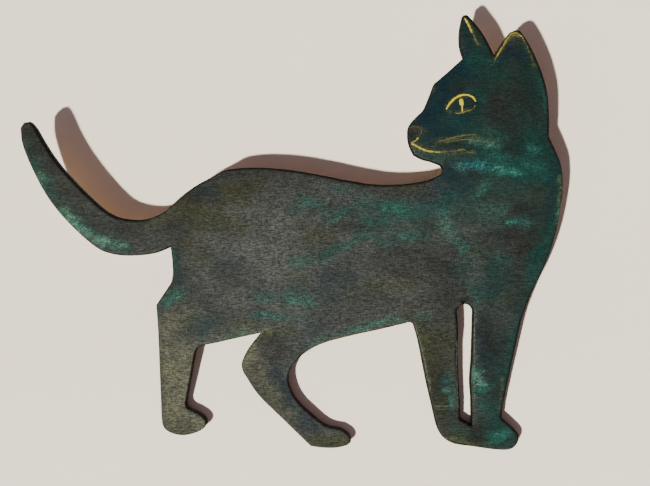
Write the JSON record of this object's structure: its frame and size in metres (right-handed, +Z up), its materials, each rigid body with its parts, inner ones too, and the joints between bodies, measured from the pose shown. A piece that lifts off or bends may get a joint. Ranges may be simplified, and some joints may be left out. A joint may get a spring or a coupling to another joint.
{
  "type": "cat wall figure",
  "caption": "Flat walking-cat figure sawn from one board and painted, with a stand-off block and a sawtooth hanger on its back for hanging on a wall nail.",
  "frame": {"origin": "seat of the wall nail: the middle notch of the sawtooth hanger, in the plane that touches the wall", "axes": "+X along the cat towards its head, +Z up, +Y towards the wall; the painted face looks along -Y"},
  "size_m": [0.3017, 0.0164, 0.2421],
  "materials": {
    "painted_board": "dark acrylic paint, dry-brushed with teal, olive and gold, faint satin sheen",
    "bare_wood": "bare sawn pine",
    "hanger_plate": "brass-plated pressed steel",
    "nail": "brass-plated steel pins"
  },
  "bodies": {
    "root": {"cat_board": "painted_board", "standoff_block": "bare_wood", "sawtooth_hanger": "hanger_plate", "hanger_nail_rear": "nail", "hanger_nail_front": "nail"}
  },
  "joints": []
}
